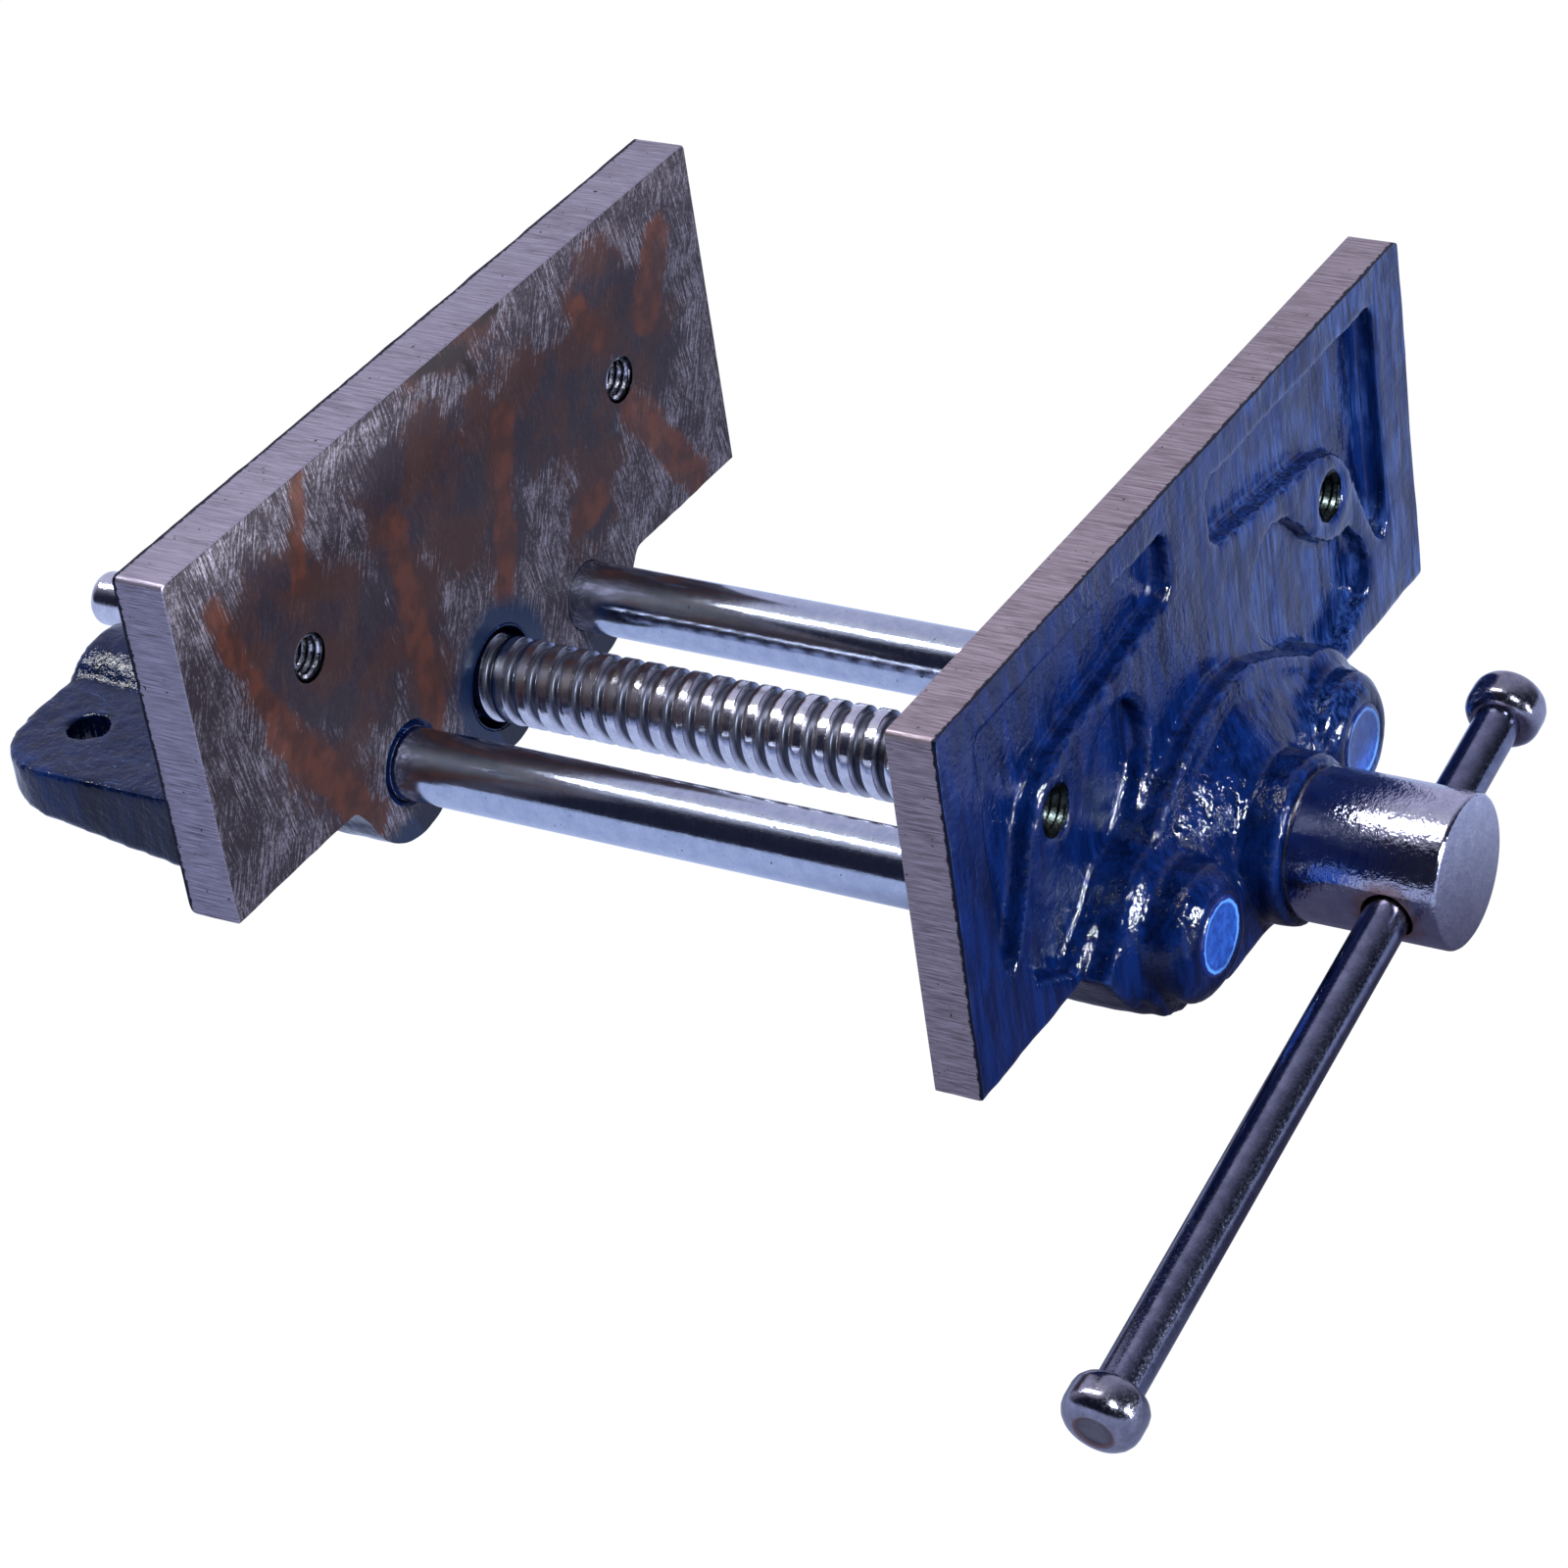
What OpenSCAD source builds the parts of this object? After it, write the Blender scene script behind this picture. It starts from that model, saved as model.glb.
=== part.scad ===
// Plain-screw woodworker's vice: a rear casting that bolts under a bench top, a front jaw on two
// guide bars, and a lead screw with a sliding cross handle.
// Frame: the origin is midway between the two bench bolt holes, on the mounting lugs' top faces.
// +Z is up towards the bench top, -Y is the front, where the handle is.

/* [Jaws] */
// Width of both jaws
jaw_w = 175; // [170:1:200]
// Height of the flat jaw faces
jaw_h = 70.5; // [70:0.5:74]
// Thickness of the front jaw plate
front_t = 9.1; // [8.5:0.1:10]
// Thickness of the rear jaw plate
rear_t = 10.5; // [9:0.1:13]
// Gap between the jaws as the part stands
opening = 143.3; // [60:0.1:150]
// Depth of the cast pockets in the front jaw
pocket_depth = 4; // [2:0.5:5]

/* [Bench mounting] */
// Height of the jaws' top edge above the mounting lugs
jaw_rise = 60; // [58:1:61]
// Distance of the lug holes behind the rear jaw face
lug_hole_back = 55.7; // [50:0.1:57]
// Sideways distance between the lug holes
lug_hole_pitch = 111; // [108:1:113]
// Diameter of the lug holes
lug_hole_d = 8.5; // [7:0.5:10]
// Thickness of the lugs at their rear edge
lug_t = 7.5; // [5:0.5:9]

/* [Cheek screws] */
// Sideways distance between the tapped holes for wooden cheeks
cheek_pitch = 107; // [105:1:109]
// Depth of the tapped holes below the jaws' top edge
cheek_drop = 34.7; // [34:0.1:36]
// Diameter of the tapped holes
cheek_d = 9.5; // [8:0.5:10]

/* [Guide bars] */
// Diameter of the guide bars
bar_d = 14.1; // [12:0.1:15]
// Sideways distance between the guide bars
bar_pitch = 62.8; // [62:0.1:64]
// Depth of the guide bars and screw below the jaws' top edge
bar_drop = 71.2; // [71:0.1:72]
// Length of the guide bars
bar_length = 241; // [236:1:246]

/* [Lead screw] */
// Outer diameter of the thread
screw_d = 16.9; // [16:0.1:17]
// Pitch of the right-hand thread
pitch = 5.08; // [5:0.01:5.1]
// Depth of the thread
thread_depth = 1.8; // [1.5:0.1:1.8]
// Number of thread turns
turns = 42; // [41:1:42]
// Diameter of the plain tail behind the thread
tail_d = 11; // [9:0.1:12]

/* [Handle] */
// Diameter of the screw head
head_d = 28; // [27:0.5:30]
// Length of the screw head
head_length = 28.4; // [26:0.1:30]
// Diameter of the handle bar
handle_d = 8.4; // [8:0.1:9]
// Distance between the middles of the handle knobs
handle_span = 167; // [150:1:200]
// Diameter of the handle knobs
knob_d = 14; // [13:0.1:16]
// Length of the handle knobs
knob_length = 8.6; // [8:0.1:10]
// Tilt of the handle above level
handle_tilt = 11.2; // [0:0.1:30]
// Distance of the handle's middle from the screw axis, along the handle
handle_shift = 43.5; // [0:0.1:50]

/* [Hidden] */
$fn = 64;
cut = 1;                    // how far cutting tools run past a face
slide_gap = 0.05;           // radial gap of sliding and turning fits
seat_gap = 0.02;            // gap round fixed fits

// Planes and axes
jaw_top = jaw_rise;
rear_face = -lug_hole_back;
front_face = rear_face - opening;
axis_z = jaw_top - bar_drop;
bar_x = bar_pitch / 2;
bar_r = bar_d / 2;
edge_r = 1.5;               // small corner rounding of the jaw plates

// Rear casting
plate_back = rear_face + rear_t;
boss_rear = rear_face + 70.2;
boss_r = 15.2;
web_half = 7;               // half the height of the webs between the bosses
lug_hole_x = lug_hole_pitch / 2;
lug_edge_x = lug_hole_x + 16;
lug_rear = 13.6;
lug_corner_r = 14;
wedge_t = 17.5;             // lug depth where it meets the jaw plate

// Front casting
plate_front = front_face - front_t;
pad_r = 7.6;                // pad round each tapped hole
pad_front = plate_front - 0.3;
body_front = front_face - 14;
boss_root_r = 15.8;
bar_boss_r = 12.3;
nose_front = [front_face - 25, front_face - 22.8];  // front ends of the left and right bosses
nose_length = 2.4;
nose_r = 9.4;
lower_front = front_face - 18;
shoulder_front = front_face - 20.5;
screw_boss_r = 15.3;
screw_boss_front = front_face - 28;
bar_proud = 0.2;            // how far the bars stand out of their bosses

// Screw, nut and collar
screw_r = screw_d / 2;
root_r = screw_r - thread_depth;
journal_r = screw_r + 0.15;
head_r = head_d / 2;
head_chamfer = 0.8;
face_gap = 0.05;            // gap between faces that turn against each other
washer_r = 13.2;
washer_t = 0.9;
head_rear = screw_boss_front - washer_t - 2 * face_gap;
head_front = head_rear - head_length;
head_bore = 11;             // depth of the journal's seat in the head
collar_r = 12.5;
collar_depth = 9;           // how deep the collar sits in the front jaw
collar_length = 8.6;
recess_r = 13.6;
collar_front = front_face - collar_depth;
collar_rear = collar_front + collar_length;
collar_pin_r = 1.5;
collar_pin_length = 23;
shank_length = 5.5;         // bare screw behind the front jaw, before the thread
journal_rear = front_face + shank_length;
thread_start = journal_rear + 0.5;
lead = 1.5;                 // plain root at each end of the thread
steps = 16;                 // thread facets in one turn
thread_rear = thread_start + (turns + 1) * pitch + lead;
tail_rear = rear_face + 96.8;
tail_chamfer = 1.4;
clearance_r = 10.4;
nut_r = 11;
nut_length = 30;
nut_flange_r = 13.4;
nut_flange_t = 3;
nut_front = boss_rear - nut_length;
nut_gap = 0.3;              // thread clearance in the nut
lock_r = 3;
lock_y = boss_rear - 12;
lock_bite = 2;              // how far the lock screw reaches into the nut
lock_length = 6;
socket_d = 3.4;
pin_r = 2;
pin_y = front_face - 12;
pin_low = axis_z - 15.2;
pin_high = axis_z + 9.5;

// Handle
handle_y = front_face - 48;
handle_r = handle_d / 2;
handle_hole_r = handle_r + 0.6;
knob_r = knob_d / 2;
knob_bore_r = handle_r - 1.2;
handle_low = -handle_shift - handle_span / 2;
handle_high = -handle_shift + handle_span / 2;

// ---- helpers ----

// Round bar along Y from y0 to y1, on an axis at x and z
module along_y(r, y0, y1, x = 0, z = axis_z) {
    translate([x, y0, z]) rotate([-90, 0, 0]) cylinder(r = r, h = y1 - y0);
}

// Cone along Y, of radius r0 at y0 and r1 at y1
module cone_y(r0, r1, y0, y1, x = 0, z = axis_z) {
    translate([x, y0, z]) rotate([-90, 0, 0]) cylinder(r1 = r0, r2 = r1, h = y1 - y0);
}

// Upright round bar from z0 to z1
module upright(r, z0, z1, x = 0, y = 0) {
    translate([x, y, z0]) cylinder(r = r, h = z1 - z0);
}

// An outline drawn in X and Z, made solid from y0 to y1
module slab_y(y0, y1) {
    translate([0, y1, 0]) rotate([90, 0, 0]) linear_extrude(y1 - y0) children();
}

module both_sides() {
    children();
    mirror([1, 0, 0]) children();
}

// Outline of a jaw plate, with small round corners
module jaw_outline() {
    x = jaw_w / 2;
    top = jaw_top;
    low = jaw_top - jaw_h;
    translate([-x + edge_r, low]) square([jaw_w - 2 * edge_r, jaw_h]);
    translate([-x, low + edge_r]) square([jaw_w, jaw_h - 2 * edge_r]);
    for (cx = [-x + edge_r, x - edge_r], cz = [low + edge_r, top - edge_r])
        translate([cx, cz]) circle(edge_r);
}

// Something made along +Z, laid on the handle's axis with +Z towards the upper knob
module on_handle() {
    translate([0, handle_y, axis_z]) rotate([0, 90 - handle_tilt, 0]) children();
}

// ---- thread ----

// One turn of the thread as [place along the pitch, height: 0 is the root and 1 is the crest]
profile = [[0, 0], [0.30, 0], [0.38, 1], [0.92, 1]];

// Right-hand threaded rod up +Z, with plain root ends as long as lead. A gap widens it all over.
module thread(turn_count, gap = 0) {
    inner = root_r + gap;
    outer = screw_r + gap * 1.3;
    side = [gap, -gap, -gap, gap];
    m = len(profile);
    last = turn_count * m;
    row = last + 1;
    function height(i, j) = pitch * (floor(j / m) + profile[j % m][0] + i / steps) + side[j % m];
    function place(r, i, z) = [r * cos(360 * i / steps), r * sin(360 * i / steps), z];
    function v(i, j) = i < steps ? i * row + j : j + m;
    grid = [for (i = [0 : steps - 1], j = [0 : last])
            place(profile[j % m][1] == 1 ? outer : inner, i, height(i, j))];
    foot = [for (i = [0 : steps - 1]) place(inner, i, -lead)];
    head = [for (i = [0 : steps - 1]) place(inner, i, pitch * (turn_count + 1) + lead)];
    b = len(grid);
    t = b + steps;
    e = steps - 1;
    function fan(p) = [for (k = [1 : len(p) - 2]) [p[0], p[k], p[k + 1]]];
    skin = [for (i = [0 : e], j = [0 : i < e ? last - 1 : last - m - 1])
            [v(i, j), v(i, j + 1), v(i + 1, j + 1), v(i + 1, j)]];
    foot_skin = [for (i = [0 : e - 1]) [b + i, v(i, 0), v(i + 1, 0), b + i + 1]];
    foot_seam = [b + e, v(e, 0), v(0, m), v(0, 1), v(0, 0), b];
    head_skin = [for (i = [0 : e - 1]) [v(i, last), t + i, t + i + 1, v(i + 1, last)]];
    head_seam = [t, v(0, last), v(e, last - m), v(e, last - m + 1), v(e, last), t + e];
    start_face = [v(0, 1), v(0, 4), v(0, 3), v(0, 2)];
    end_face = [v(e, last - 3), v(e, last - 2), v(e, last - 1), v(e, last)];
    foot_cap = [for (i = [0 : e]) b + i];
    head_cap = [for (i = [0 : e]) t + e - i];
    outlines = concat(skin, foot_skin, [foot_seam], head_skin, [head_seam],
                      [start_face, end_face, foot_cap, head_cap]);
    polyhedron(concat(grid, foot, head), [for (p = outlines) each fan(p)]);
}

// The thread laid along the screw's axis, whole turns from its start
module thread_y(turn_count, gap = 0, start_turn = 0) {
    translate([0, thread_start + start_turn * pitch, axis_z]) rotate([-90, 0, 0])
        thread(turn_count, gap);
}

// ---- rear casting ----

module lug() {
    intersection() {
        union() {
            translate([0, plate_back - cut, -wedge_t - cut])
                cube([lug_edge_x - lug_corner_r, lug_rear - plate_back + cut, wedge_t + cut]);
            translate([0, plate_back - cut, -wedge_t - cut])
                cube([lug_edge_x, lug_rear - lug_corner_r - plate_back + cut, wedge_t + cut]);
            upright(lug_corner_r, -wedge_t - cut, 0, lug_edge_x - lug_corner_r, lug_rear - lug_corner_r);
        }
        translate([bar_x, 0, 0]) rotate([90, 0, 90]) linear_extrude(lug_edge_x)
            polygon([[plate_back - cut, 0], [lug_rear, 0], [lug_rear, -lug_t],
                     [plate_back, -wedge_t], [plate_back - cut, -wedge_t]]);
    }
}

// Small fillet webs where the bar bosses pass below the jaw plate
module boss_gusset(y0, y1) {
    low = jaw_top - jaw_h;
    slab_y(y0, y1)
        polygon([[bar_x + 19.5, low + cut], [bar_x + 18.5, low], [bar_x + 13.6, low - 6.5],
                 [bar_x, axis_z - 10], [bar_x, low + cut]]);
}

module rear_jaw_casting() {
    color("navy") difference() {
        union() {
            slab_y(rear_face, plate_back) jaw_outline();
            along_y(boss_r, rear_face, boss_rear);
            both_sides() {
                along_y(boss_r, rear_face, boss_rear, bar_x);
                boss_gusset(rear_face, plate_back);
                lug();
            }
            translate([-bar_x, rear_face, axis_z - web_half])
                cube([bar_pitch, boss_rear - rear_face - 6, 2 * web_half]);
        }
        along_y(clearance_r, rear_face - cut, nut_front + cut);
        along_y(nut_r + seat_gap, nut_front, boss_rear + cut);
        along_y(nut_flange_r + seat_gap, boss_rear - nut_flange_t, boss_rear + cut);
        upright(lock_r + seat_gap, axis_z - boss_r - cut, axis_z, 0, lock_y);
        both_sides() {
            along_y(bar_r + slide_gap, rear_face - cut, boss_rear + cut, bar_x);
            upright(lug_hole_d / 2, -wedge_t - cut, cut, lug_hole_x);
            along_y(cheek_d / 2, rear_face - cut, plate_back + cut, cheek_pitch / 2, jaw_top - cheek_drop);
        }
    }
}

module screw_nut() {
    color("darkgoldenrod") difference() {
        union() {
            along_y(nut_r, nut_front, boss_rear);
            along_y(nut_flange_r, boss_rear - nut_flange_t + seat_gap, boss_rear);
        }
        thread_y(9, nut_gap, 33);
        upright(lock_r + seat_gap, axis_z - nut_r - cut, axis_z - nut_r + lock_bite + 0.1, 0, lock_y);
    }
}

module nut_lock_screw() {
    low = axis_z - nut_r + lock_bite - lock_length;
    color("dimgray") difference() {
        upright(lock_r, low, low + lock_length, 0, lock_y);
        translate([0, lock_y, low - cut]) cylinder(d = socket_d, h = 3 + cut, $fn = 6);
    }
}

// ---- front casting ----

// Long pocket below the top rim that turns down along the end of the jaw
module wing_pocket() {
    polygon([[9.5, -6.5], [74, -6.5], [76, -8.5], [76, -51], [73.5, -55], [70.5, -53],
             [66, -44], [62, -33.5], [56.5, -27.5], [50, -25.2], [10.5, -20.3], [7.5, -17.5],
             [7.3, -9.5]]);
}

// Rounded pocket between the pad and the body
module lower_pocket() {
    polygon([[20.5, -38], [22.5, -32.5], [26, -29], [31, -27.8], [36.5, -29.2], [42, -34.2],
             [46.5, -39.5], [53, -43.8], [60.5, -44.8], [65, -50], [67.5, -56.5], [65.5, -62],
             [60, -64.5], [54, -68], [30, -54], [23.5, -47], [21, -43]]);
}

// Half of the outline of the body that carries the bosses
module body_half() {
    polygon([[0, -42], [10, -43.5], [19, -47.5], [29, -53], [38, -59.5], [46, -64.8],
             [51.5, -70.5], [45.9, -78], [bar_x, -76], [0, -76]]);
}

// Half of the outline of the casting's lower part, out to x
module lower_half(x) {
    low = axis_z - jaw_top - boss_root_r + 0.2;
    polygon([[0, low + 16], [x - 1, low + 16], [x, low + 9], [x - 4, low + 2.6], [x - 10, low],
             [0, low]]);
}

// Boss that holds one guide bar, on the left with side -1 and on the right with side 1
module bar_boss(side) {
    x = side * bar_x;
    nose = nose_front[side < 0 ? 0 : 1];
    along_y(boss_root_r, body_front, front_face, x);
    cone_y(bar_boss_r, boss_root_r, body_front - 2, body_front, x);
    along_y(bar_boss_r, nose + nose_length, body_front, x);
    cone_y(nose_r, bar_boss_r, nose, nose + nose_length, x);
}

// An outline drawn down from the jaw's top edge, made solid from y0 to y1 on both sides
module jaw_shape(y0, y1) {
    both_sides() translate([0, 0, jaw_top]) slab_y(y0, y1) children();
}

module front_jaw_casting() {
    floor_y = plate_front + pocket_depth;
    pad_z = jaw_top - cheek_drop;
    color("mediumblue") difference() {
        union() {
            difference() {
                slab_y(plate_front, front_face) jaw_outline();
                jaw_shape(plate_front - cut, floor_y) wing_pocket();
                jaw_shape(plate_front - cut, floor_y) lower_pocket();
            }
            both_sides() along_y(pad_r, pad_front, front_face - cut, cheek_pitch / 2, pad_z);
            jaw_shape(body_front, front_face - cut) body_half();
            jaw_shape(lower_front, front_face) lower_half(bar_x + 12.6);
            jaw_shape(lower_front - 3.5, lower_front) lower_half(bar_x + 1.6);
            for (side = [-1, 1]) bar_boss(side);
            along_y(screw_boss_r, screw_boss_front, front_face);
            hull() {
                jaw_shape(body_front - 0.1, body_front)
                    polygon([[0, -45], [16, -50], [30, -58], [30, -80], [0, -84]]);
                along_y(screw_boss_r, shoulder_front, body_front, $fn = 32);
            }
        }
        along_y(journal_r + slide_gap, screw_boss_front - cut, front_face + cut);
        along_y(recess_r, collar_front - face_gap, front_face + cut);
        both_sides() {
            along_y(bar_r + seat_gap, nose_front[0] - cut, front_face + cut, bar_x);
            along_y(cheek_d / 2, pad_front - cut, front_face + cut, cheek_pitch / 2, pad_z);
            upright(pin_r + seat_gap, axis_z - boss_root_r - cut, pin_high, bar_x, pin_y);
        }
    }
}

// ---- guide bars ----

module guide_bar(side) {
    x = side * bar_x;
    front = nose_front[side < 0 ? 0 : 1] - bar_proud;
    rear = nose_front[0] - bar_proud + bar_length;
    color("silver") difference() {
        union() {
            along_y(bar_r, front, rear - 1, x);
            cone_y(bar_r, bar_r - 1, rear - 1, rear, x);
        }
        upright(pin_r + seat_gap, axis_z - bar_r - cut, pin_high, x, pin_y);
    }
}

module guide_bar_left() { guide_bar(-1); }
module guide_bar_right() { guide_bar(1); }

module guide_bar_pins() {
    color("gray") both_sides() upright(pin_r, pin_low, pin_high - 0.1, bar_x, pin_y);
}

// ---- lead screw ----

module lead_screw() {
    color("lightgray") difference() {
        union() {
            along_y(journal_r, head_rear - head_bore + 0.2, journal_rear);
            thread_y(turns);
            along_y(tail_d / 2, thread_rear - 1, tail_rear - tail_chamfer);
            cone_y(tail_d / 2, tail_d / 2 - tail_chamfer, tail_rear - tail_chamfer, tail_rear);
        }
        collar_pin_hole();
    }
}

// Cross hole through the collar and the screw
module collar_pin_hole() {
    translate([-collar_r - cut, (collar_front + collar_rear) / 2, axis_z]) rotate([0, 90, 0])
        cylinder(r = collar_pin_r + seat_gap, h = 2 * (collar_r + cut));
}

module screw_head() {
    color("lightsteelblue") difference() {
        union() {
            cone_y(head_r - head_chamfer, head_r, head_front, head_front + head_chamfer);
            along_y(head_r, head_front + head_chamfer, head_rear - head_chamfer);
            cone_y(head_r, head_r - head_chamfer, head_rear - head_chamfer, head_rear);
        }
        along_y(journal_r + seat_gap, head_rear - head_bore, head_rear + cut);
        on_handle() cylinder(r = handle_hole_r, h = 4 * head_r, center = true);
    }
}

module thrust_washer() {
    color("gray") difference() {
        along_y(washer_r, head_rear + face_gap, screw_boss_front - face_gap);
        along_y(journal_r + slide_gap, head_rear - cut, screw_boss_front + cut);
    }
}

module retaining_collar() {
    color("darkgray") difference() {
        along_y(collar_r, collar_front, collar_rear);
        along_y(journal_r + seat_gap, collar_front - cut, collar_rear + cut);
        collar_pin_hole();
    }
}

module collar_pin() {
    color("gray") translate([-collar_pin_length / 2, (collar_front + collar_rear) / 2, axis_z])
        rotate([0, 90, 0]) cylinder(r = collar_pin_r, h = collar_pin_length);
}

// ---- handle ----

module handle_bar() {
    end = knob_length / 2;
    color("slategray") on_handle() {
        translate([0, 0, handle_low + end]) cylinder(r = handle_r, h = handle_span - knob_length);
        translate([0, 0, handle_low - end + 0.8])
            cylinder(r = knob_bore_r - seat_gap, h = handle_span + knob_length - 1.6);
    }
}

// Turned knob with round edges, bored for the bar's spigot
module knob() {
    round_r = 3.2;
    half = knob_length / 2;
    color("lightslategray") difference() {
        rotate_extrude() {
            translate([0, -half]) square([knob_r - round_r, knob_length]);
            translate([0, -half + round_r]) square([knob_r, knob_length - 2 * round_r]);
            for (z = [-half + round_r, half - round_r])
                translate([knob_r - round_r, z]) circle(round_r);
        }
        cylinder(r = knob_bore_r, h = knob_length + 2 * cut, center = true);
    }
}

module handle_knob_left() { on_handle() translate([0, 0, handle_low]) knob(); }
module handle_knob_right() { on_handle() translate([0, 0, handle_high]) knob(); }

rear_jaw_casting();
screw_nut();
nut_lock_screw();
front_jaw_casting();
guide_bar_left();
guide_bar_right();
guide_bar_pins();
lead_screw();
screw_head();
thrust_washer();
retaining_collar();
collar_pin();
handle_bar();
handle_knob_left();
handle_knob_right();
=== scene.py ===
"""Plain-screw woodworker's vice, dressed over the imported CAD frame. Lengths in the helpers are in mm."""
import math

import bmesh
import bpy
import numpy as np
from mathutils import Matrix, Quaternion, Vector, noise


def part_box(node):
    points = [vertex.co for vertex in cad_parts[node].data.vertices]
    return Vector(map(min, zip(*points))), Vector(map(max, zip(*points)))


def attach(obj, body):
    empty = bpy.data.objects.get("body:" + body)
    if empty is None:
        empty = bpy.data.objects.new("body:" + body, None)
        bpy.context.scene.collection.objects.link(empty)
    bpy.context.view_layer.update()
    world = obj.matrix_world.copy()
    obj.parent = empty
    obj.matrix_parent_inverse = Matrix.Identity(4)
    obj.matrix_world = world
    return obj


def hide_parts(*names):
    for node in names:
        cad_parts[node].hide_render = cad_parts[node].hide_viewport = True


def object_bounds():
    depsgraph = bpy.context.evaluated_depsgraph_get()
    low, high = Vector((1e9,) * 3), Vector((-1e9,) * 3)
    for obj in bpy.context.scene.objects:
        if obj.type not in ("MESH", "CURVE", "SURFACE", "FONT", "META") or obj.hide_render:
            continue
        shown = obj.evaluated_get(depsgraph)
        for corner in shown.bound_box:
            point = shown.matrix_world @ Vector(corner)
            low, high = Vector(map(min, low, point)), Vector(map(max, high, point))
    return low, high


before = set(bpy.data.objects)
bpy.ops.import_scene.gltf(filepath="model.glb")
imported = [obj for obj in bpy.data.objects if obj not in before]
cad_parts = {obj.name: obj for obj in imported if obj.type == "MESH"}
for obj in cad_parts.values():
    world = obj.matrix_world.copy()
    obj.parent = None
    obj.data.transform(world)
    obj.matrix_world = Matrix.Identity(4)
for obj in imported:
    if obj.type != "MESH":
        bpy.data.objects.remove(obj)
cad_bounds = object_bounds()
MM = 0.001

# ---- places read from the frame, in mm ----


def mm_box(node):
    lo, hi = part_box(node)
    return Vector(lo) / MM, Vector(hi) / MM


rear_lo, rear_hi = mm_box("rear_jaw_casting")
front_hi = mm_box("front_jaw_casting")[1]
screw_lo, screw_hi = mm_box("lead_screw")
head_lo, head_hi = mm_box("screw_head")
BARS = {side: mm_box(f"guide_bar_{side}") for side in ("left", "right")}
JAW_X = rear_hi.x
JAW_TOP = rear_hi.z
REAR_FACE = rear_lo.y
FRONT_FACE = front_hi.y
AXIS_Z = (head_lo.z + head_hi.z) / 2
HEAD_R = (head_hi.x - head_lo.x) / 2
BAR_X = (BARS["right"][0].x + BARS["right"][1].x) / 2
BAR_R = (BARS["right"][1].x - BARS["right"][0].x) / 2
KNOBS = {side: sum(mm_box(f"handle_knob_{side}"), Vector()) / 2 for side in ("left", "right")}
HANDLE = (KNOBS["right"] - KNOBS["left"]).normalized()
CHEEK_X, CHEEK_Z, CHEEK_R = 53.5, JAW_TOP - 34.7, 4.75
LUG_X, LUG_R = 55.5, 4.25
SCREW_HOLE_R = 10.4
Y = Vector((0, 1, 0))

# ---- mesh helpers ----


def piece(name, verts, faces, body, materials, sharp=35, face_material=None):
    """A mesh piece in mm, riding on a body."""
    mesh = bpy.data.meshes.new(name)
    mesh.from_pydata([tuple(Vector(v) * MM) for v in verts], [], faces)
    mesh.validate()
    return finish_piece(name, mesh, body, materials, sharp, face_material)


def finish_piece(name, mesh, body, materials, sharp=35, face_material=None):
    obj = bpy.data.objects.new(name, mesh)
    bpy.context.scene.collection.objects.link(obj)
    mesh.materials.clear()
    for m in materials:
        mesh.materials.append(m)
    if face_material is not None:
        mesh.polygons.foreach_set("material_index", np.asarray(face_material, np.int32))
    if sharp:
        mesh.shade_smooth()
        mesh.set_sharp_from_angle(angle=math.radians(sharp))
    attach(obj, body)
    return obj


def turned(profile, start, axis, segments=96):
    """Vertices and faces of a turned shape; profile is [(place along the axis, radius)]."""
    axis = Vector(axis).normalized()
    u = axis.orthogonal().normalized()
    w = axis.cross(u)
    verts, faces, rings = [], [], []
    for s, r in profile:
        if r < 1e-6:
            rings.append([len(verts)])
            verts.append(start + axis * s)
            continue
        rings.append(list(range(len(verts), len(verts) + segments)))
        for i in range(segments):
            a = 2 * math.pi * i / segments
            verts.append(start + axis * s + (u * math.cos(a) + w * math.sin(a)) * r)
    for a, b in zip(rings, rings[1:]):
        for i in range(segments):
            j = (i + 1) % segments
            if len(a) == 1 and len(b) == 1:
                continue
            if len(a) == 1:
                faces.append((a[0], b[j], b[i]))
            elif len(b) == 1:
                faces.append((a[i], a[j], b[0]))
            else:
                faces.append((a[i], a[j], b[j], b[i]))
    return verts, faces


def helix_tube(pitch, radii, y0, y1, x, z, shape, segments=72, envelope=None, phase=0.0):
    """Right-hand thread surface along +Y. radii is (root, crest) and shape [(place in the pitch, height)]."""
    root, crest = radii
    turns = math.ceil((y1 - y0) / pitch) + 1
    verts, faces = [], []
    columns = turns * len(shape) + 1
    for i in range(segments + 1):
        turn = i / segments
        a = 2 * math.pi * (turn + phase)
        for k in range(columns):
            t, j = divmod(k, len(shape))
            place, height = shape[j]
            y = y0 + pitch * (t - 1 + place + turn)
            r = root + (crest - root) * height
            yc = min(max(y, y0), y1)
            if envelope:
                r = min(r, envelope(yc))
            # seen from -Y a right-hand thread that turns clockwise runs towards +Y
            verts.append((x + r * math.cos(a), yc, z - r * math.sin(a)))
    for i in range(segments):
        for k in range(columns - 1):
            p, q = i * columns + k, (i + 1) * columns + k
            ys = [verts[n][1] for n in (p, p + 1, q + 1, q)]
            if max(ys) - min(ys) > 1e-6:
                faces.append((p, p + 1, q + 1, q))
    return verts, faces


def evaluated(obj):
    """The object's mesh with its modifiers applied; the helper object is removed."""
    graph = bpy.context.evaluated_depsgraph_get()
    mesh = bpy.data.meshes.new_from_object(obj.evaluated_get(graph))
    bpy.data.objects.remove(obj)
    return mesh


def loose(name, mesh):
    obj = bpy.data.objects.new(name, mesh)
    bpy.context.scene.collection.objects.link(obj)
    return obj


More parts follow.
